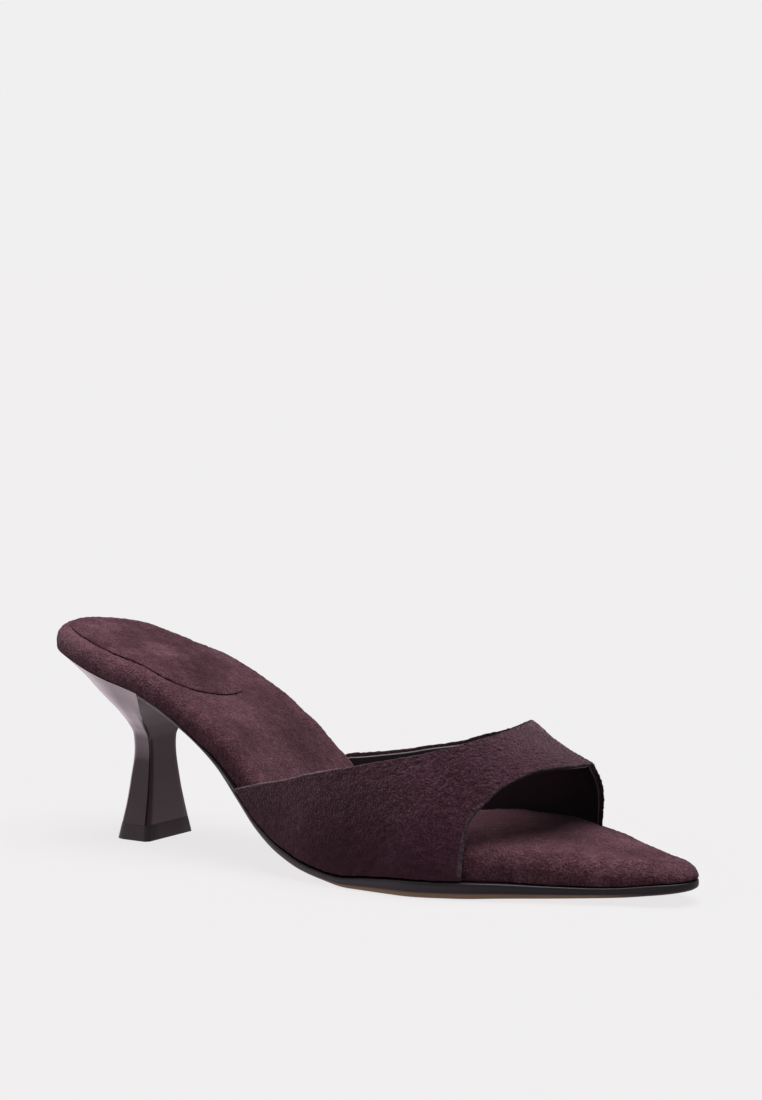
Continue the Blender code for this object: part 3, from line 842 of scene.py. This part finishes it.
def upperPoint(x, turn):
    angle = pi * turn
    side = -1 if turn < 0.5 else 1
    half = footbedHalf(x, side) + clear + upper["wall"]
    base = footbedBase(x)
    y = side * half * abs(cos(angle)) ** (2 / last["fullness"])
    rise = (ridgeHeight(x) - base) * max(0.0, sin(angle)) ** (2 / last["fullness"])
    return Vector((x, y, base + rise))


# A grid of points and outward normals between the collar and toe edges moved inFromEdges in
def bandGrid(inFromEdges, turns, steps):
    offFoot = 0.0015  # share of a turn left out at each foot
    edgeReach, edgeGap = 0.004, 0.001  # step and margin for an edge's slope
    normalReach, normalGap = 0.002, 0.0001  # the same for a normal
    leastLean = 0.25
    points, normals = [], []
    for i in range(turns + 1):
        turn = min(max(i / turns, offFoot), 1 - offFoot)
        places = []
        for placeAt, sign in ((collarPlace, 1), (toePlace, -1)):
            edgeX = placeAt(turn) * length
            slope = (placeAt(turn + edgeReach) - placeAt(turn - edgeReach)) * length
            run = (upperPoint(edgeX, min(turn + edgeReach, 1 - edgeGap))
                   - upperPoint(edgeX, max(turn - edgeReach, edgeGap))).length
            lean = max(run / hypot(run, slope), leastLean)
            places.append(edgeX + sign * inFromEdges / lean)
        back, front = places
        row, rowNormals = [], []
        for j in range(steps + 1):
            x = back + (front - back) * j / steps
            along = upperPoint(x + 0.5, turn) - upperPoint(x - 0.5, turn)
            around = (upperPoint(x, min(turn + normalReach, 1 - normalGap))
                      - upperPoint(x, max(turn - normalReach, normalGap)))
            row.append(upperPoint(x, turn))
            rowNormals.append(along.cross(around).normalized())
        points.append(row)
        normals.append(rowNormals)
    return points, normals


# A closed shell of the band from depth low to depth high under the last's surface, with
# rounded edges that reach out past the grid's edges. Its collar's edge, and its toe edge up to
# toeRim from the end, take the second material.
def bandShell(points, normals, low, high, edgeReach, toeRim=0.0):
    edgeSteps = upper["edgeSteps"]
    edgeFullness = 0.8  # 1 is a round edge, less is squarer
    leastStep = 0.05  # mm between two points
    mesh = bmesh.new()
    thick = high - low
    loops = []
    for i, (row, rowNormals) in enumerate(zip(points, normals)):
        outside = [point - normal * low for point, normal in zip(row, rowNormals)]
        inside = [point - normal * high for point, normal in zip(row, rowNormals)]
        edges = []
        for j, inner in ((-1, -2), (0, 1)):
            before, after = points[max(i - 1, 0)][j], points[min(i + 1, len(points) - 1)][j]
            outward = (after - before).cross(rowNormals[j]).normalized()
            if outward.dot(row[j] - row[inner]) < 0:
                outward = -outward
            arc = []
            for k in range(1, edgeSteps):
                angle = pi * k / edgeSteps
                drop = low + thick * (1 - cos(angle)) / 2
                arc.append(row[j] - rowNormals[j] * drop
                           + outward * edgeReach * sin(angle) ** edgeFullness)
            edges.append(arc)
        toeArc, collarArc = edges
        loops.append([mesh.verts.new(point) for point in
                      outside + toeArc + inside[::-1] + collarArc[::-1]])
    steps, arc = len(points[0]), edgeSteps - 1
    for i, (loop, following) in enumerate(zip(loops, loops[1:])):
        rimSteps = round(toeRim / max((points[i][-1] - points[i][-2]).length, leastStep))
        for k in range(len(loop)):
            face = mesh.faces.new((loop[k], loop[k - 1], following[k - 1], following[k]))
            toeFace = toeRim > 0 and steps - rimSteps <= k <= steps + arc
            collarFace = k > 2 * steps + arc or k == 0
            face.material_index = 1 if toeFace or collarFace else 0
    for loop in (loops[0], loops[-1]):
        for j in range(steps - 1):
            mesh.faces.new((loop[j], loop[j + 1],
                            loop[2 * steps + arc - 2 - j], loop[2 * steps + arc - 1 - j]))
        mesh.faces.new(loop[steps - 1:steps + arc + 1])
        mesh.faces.new(loop[2 * steps + arc - 1:] + loop[:1])
    return mesh


def makeUpper():
    points, normals = bandGrid(0.0, upper["turns"], upper["steps"])
    mesh = bandShell(points, normals, 0.0, upper["suede"], upper["foldReach"], upper["toeRim"])
    roughenMesh(mesh, upper)
    makePiece("upperSuede", mesh, shadedBandNap, "upper").data.materials.append(rimNap)
    points, normals = bandGrid(upper["liningBack"], upper["turns"] // 2, upper["steps"] // 2)
    low = upper["wall"] - upper["lining"]
    mesh = bandShell(points, normals, low, upper["wall"], upper["liningReach"])
    # The lining's collar edge takes the pale painted highlight
    makePiece("upperLining", mesh, kidLining, "upper").data.materials.append(kidEdgeHighlight)


# Heel: wide at the seat, waisted, and flared to the floor
heel = {
    "inset": 0.5,
    "setback": 8.1,
    "waistDepth": 8.6,
    "waistWidth": 14.2,
    "tipDepth": 15.4,
    "tipWidth": 25.0,
    "tipHeight": 5.0,
    "tipSetback": 5.5,
    "backRound": 0.42,  # share of a section's depth that its rounded back takes
    "corner": 0.10,  # share of a section's depth that its front corners take
    "cornerDrop": 0.12,  # share of the half width lost there
    "squareness": 2.6,
    "sharpDegrees": 32.0,
    "rings": 110,
    "strips": 10,  # on each lid and end wall
    "liftRings": 5,
    "liftStrips": 4,
    "stations": 70,
}
seatDepth = breastX - heel["inset"]
tipDepth, tipWidth, setback = heel["tipDepth"], heel["tipWidth"], heel["setback"]

# Rise from the tip to the seat, depth, width, setback, and the share of the seat's outline
heelRows = [
    (0.00, 0.87 * tipDepth, 0.92 * tipWidth, 0.78 * setback, 0.0),
    (0.12, 0.77 * tipDepth, 0.80 * tipWidth, 0.84 * setback, 0.0),
    (0.25, 0.69 * tipDepth, 0.69 * tipWidth, 0.90 * setback, 0.0),
    (0.50, heel["waistDepth"], heel["waistWidth"], 0.99 * setback, 0.0),
    (0.58, 0.19 * seatDepth, 0.30 * seatWide, setback, 0.1),
    (0.66, 0.23 * seatDepth, 0.41 * seatWide, 0.92 * setback, 0.3),
    (0.74, 0.33 * seatDepth, 0.57 * seatWide, 0.74 * setback, 0.6),
    (0.80, 0.46 * seatDepth, 0.69 * seatWide, 0.57 * setback, 0.8),
    (0.86, 0.61 * seatDepth, 0.79 * seatWide, 0.38 * setback, 0.9),
    (0.92, 0.76 * seatDepth, 0.88 * seatWide, 0.20 * setback, 1.0),
    (1.00, seatDepth, seatWide, 0.0, 1.0),
]


# One side of a heel section: a rounded back, a straight side and a small front corner
def blockSide(depth, half, seatShape, back, side):
    points = []
    for i in range(heel["stations"] + 1):
        share = (1 - cos(pi * i / heel["stations"])) / 2
        rear = max(0.0, 1 - share / heel["backRound"])
        front = max(0.0, 1 - (1 - share) / heel["corner"])
        boxed = (1 - rear ** heel["squareness"]) ** (1 / heel["squareness"])
        boxed *= 1 - heel["cornerDrop"] * front * front
        place = heel["inset"] + seatDepth * share
        seated = (soleHalf(place, side) - heel["inset"] * boxed) / (0.5 * seatWide)
        points.append((back + depth * share, side * half * (boxed + (seated - boxed) * seatShape)))
    return points


def makeHeel():
    floor = heel["tipHeight"] + 0.2 * clear  # a thin gap shows between the two
    depthAt, widthAt, setbackAt, seatAt = [smoothCurve(heelRows, n) for n in (1, 2, 3, 4)]

    def seatTop(x):
        return undersideAt(x) + outsoleThickness(x)

    rings = []
    for k in range(heel["rings"] + 1):
        rise = k / heel["rings"]
        depth = depthAt(rise)
        back = breastX - setbackAt(rise) - depth
        sides = [blockSide(depth, widthAt(rise) / 2, seatAt(rise), back, side)
                 for side in (-1, 1)]
        rings.append(liftRing(sides, lambda x, y: floor + rise * (seatTop(x) - floor)))
    mesh = solidFromRings(rings, heel["strips"], heel["strips"], lambda x, y: floor,
                          lambda x, y: seatTop(x), heel["strips"])
    makePiece("heelBlock", mesh, heelLacquer, "heel", heel["sharpDegrees"])


def makeTopLift():
    topDepth, topWidth, topSetback, seatShape = heelRows[0][1:]
    rings = []
    for k in range(heel["liftRings"] + 1):
        share = k / heel["liftRings"]
        depth = tipDepth + (topDepth - tipDepth) * share
        width = tipWidth + (topWidth - tipWidth) * share
        front = heel["tipSetback"] + (topSetback - heel["tipSetback"]) * share
        back = breastX - front - depth
        sides = [blockSide(depth, width / 2, seatShape, back, side) for side in (-1, 1)]
        rings.append(liftRing(sides, lambda x, y: heel["tipHeight"] * share))
    mesh = solidFromRings(rings, heel["liftStrips"], heel["liftStrips"], lambda x, y: 0.0,
                          lambda x, y: heel["tipHeight"], heel["liftStrips"])
    makePiece("topLift", mesh, liftRubber, "heel_tip", heel["sharpDegrees"])


makeOutsole()
makeFootbed()
makeHeelPad()
makeUpper()
makeHeel()
makeTopLift()


# Studio: a pale floor, a pale backdrop all round, wide soft lights, and a card under the shoe
# that is seen only in its gloss. Places, radii and depths are in metres.
studio = {
    "floorColor": "#f1eff0",
    "floorTone": 0.871,  # the linear brightness of that colour
    "floorGlow": 0.77,  # the floor's own tone, that shadows can't darken
    "floorAlbedo": 0.092,
    "floorGrains": 900.0,  # of the paper, over the floor's whole width
    "floorDepth": 0.00004,
    "backdropColor": "#f0f0f0",
    "backdropRadius": 6.0,
    "roomLight": 0.17,
    "topLight": 2.9,
    "topFrom": (0.06, 0.08, 1.0),
    "topWidth": 55.0,  # degrees across
    "sideLight": 0.15,
    "sideFrom": (-0.6, -0.8, 0.5),
    "sideWidth": 60.0,
    "cardColor": "#f2e1ea",
    "cardPlace": (-0.118, 0.0),
    "cardTurn": -123.0,  # degrees from +X to the way in which the card gets brighter
    "cardEdge": 0.05,  # on both sides of its middle, where it turns dark
    "cardFar": 0.40,  # from its middle to where it has dimmed
    "cardGlow": 1.70,
    "cardFarShare": 0.60,  # of its glow that is left there
    "cardDarkShare": 0.27,  # of its glow on its dark half
    "cardRadius": 2.0,
    "cardDepth": 0.0003,
}


def makeStage():
    material, tree = newMaterial("studio floor, matt paper")
    grain = addNode(tree, "ShaderNodeTexNoise", {
        "Scale": studio["floorGrains"], "Detail": 2.0})
    tone = addNode(tree, "ShaderNodeMapRange", {
        "Value": grain, "To Min": 0.985, "To Max": 1.0})
    glow = addNode(tree, "ShaderNodeEmission", {
        "Color": hexColor(studio["floorColor"]),
        "Strength": studio["floorGlow"] / studio["floorTone"]})
    albedo = studio["floorAlbedo"]
    paper = addNode(tree, "ShaderNodeMix", {
        "Factor": tone, mixFirst: (0.0, 0.0, 0.0, 1.0),
        mixSecond: (albedo, albedo, albedo, 1.0)}, {"data_type": "RGBA"})
    matt = addNode(tree, "ShaderNodeBsdfDiffuse", {"Color": paper.outputs[mixResult]})
    shader = addNode(tree, "ShaderNodeAddShader", {0: glow, 1: matt})
    closeMaterial(material, shader)
    radius = studio["backdropRadius"]
    bpy.ops.mesh.primitive_circle_add(vertices=96, radius=radius, fill_type="NGON",
                                      location=(0, 0, -studio["floorDepth"]))
    floor = bpy.context.object
    floor.name = "studioFloor"
    floor.data.materials.append(material)
    floor.visible_diffuse = False
    floor.visible_glossy = False

    material, tree = newMaterial("studio backdrop, lit paper")
    lit = addNode(tree, "ShaderNodeEmission", {
        "Color": hexColor(studio["backdropColor"]), "Strength": 1.0})
    closeMaterial(material, lit)
    bpy.ops.mesh.primitive_uv_sphere_add(segments=64, ring_count=32, radius=radius)
    backdrop = bpy.context.object
    backdrop.name = "studioBackdrop"
    backdrop.data.materials.append(material)
    backdrop.visible_diffuse = False
    backdrop.visible_glossy = False
    backdrop.visible_shadow = False

    material, tree = newMaterial("studio card, lit paper")
    place = addNode(tree, "ShaderNodeTexCoord").outputs["Object"]
    away = addNode(tree, "ShaderNodeVectorMath", {0: place}, {"operation": "LENGTH"})
    fall = addNode(tree, "ShaderNodeMapRange", {
        "Value": away.outputs["Value"], "From Max": studio["cardFar"],
        "To Min": studio["cardGlow"], "To Max": studio["cardFarShare"] * studio["cardGlow"]})
    along = addNode(tree, "ShaderNodeSeparateXYZ", {0: place})
    turned = addNode(tree, "ShaderNodeMapRange", {
        "Value": along.outputs["X"], "From Min": -studio["cardEdge"],
        "From Max": studio["cardEdge"], "To Min": studio["cardDarkShare"], "To Max": 1.0})
    strength = addNode(tree, "ShaderNodeMath", {
        0: fall, 1: turned}, {"operation": "MULTIPLY"})
    lit = addNode(tree, "ShaderNodeEmission", {
        "Color": hexColor(studio["cardColor"]), "Strength": strength})
    closeMaterial(material, lit)
    bpy.ops.mesh.primitive_circle_add(vertices=96, radius=studio["cardRadius"], fill_type="NGON",
                                      location=(*studio["cardPlace"], -studio["cardDepth"]))
    card = bpy.context.object
    card.name = "studioCard"
    card.rotation_euler.z = radians(studio["cardTurn"])
    card.data.materials.append(material)
    card.visible_camera = False
    card.visible_diffuse = False
    card.visible_shadow = False


def addSun(name, direction, strength, widthDegrees):
    light = bpy.data.lights.new(name, "SUN")
    light.energy = strength
    light.angle = radians(widthDegrees)
    lamp = addObject(name, light)
    lamp.rotation_euler = Vector(direction).to_track_quat("Z", "Y").to_euler()


makeStage()
world = bpy.data.worlds.new("studioRoom")
world.use_nodes = True
roomTone = world.node_tree.nodes["Background"]
roomTone.inputs["Color"].default_value = (1.0, 1.0, 1.0, 1.0)
roomTone.inputs["Strength"].default_value = studio["roomLight"]
bpy.context.scene.world = world
addSun("topSoftbox", studio["topFrom"], studio["topLight"], studio["topWidth"])
addSun("sideSoftbox", studio["sideFrom"], studio["sideLight"], studio["sideWidth"])

# Camera: low on the outer side, looking back along the shoe. Angles in degrees, lens and
# sensor in mm, the rest in metres.
view = {
    "azimuth": 33.84,
    "elevation": 6.20,
    "distance": 1.102,
    "target": (-0.02841, 0.0, 0.0984),
    "lens": 116.8,
    "sensor": 36.0,
    "nearest": 0.05,
    "farthest": 50.0,
}
azimuth, elevation = radians(view["azimuth"]), radians(view["elevation"])
toCamera = Vector((sin(azimuth) * cos(elevation), -cos(azimuth) * cos(elevation), sin(elevation)))
lens = bpy.data.cameras.new("studioCamera")
lens.lens = view["lens"]
lens.sensor_width = view["sensor"]
lens.clip_start = view["nearest"]
lens.clip_end = view["farthest"]
camera = addObject("studioCamera", lens)
camera.location = Vector(view["target"]) + toCamera * view["distance"]
camera.rotation_euler = toCamera.to_track_quat("Z", "Y").to_euler()
bpy.context.scene.camera = camera
bpy.context.scene.view_settings.view_transform = "Standard"
print("studio made")
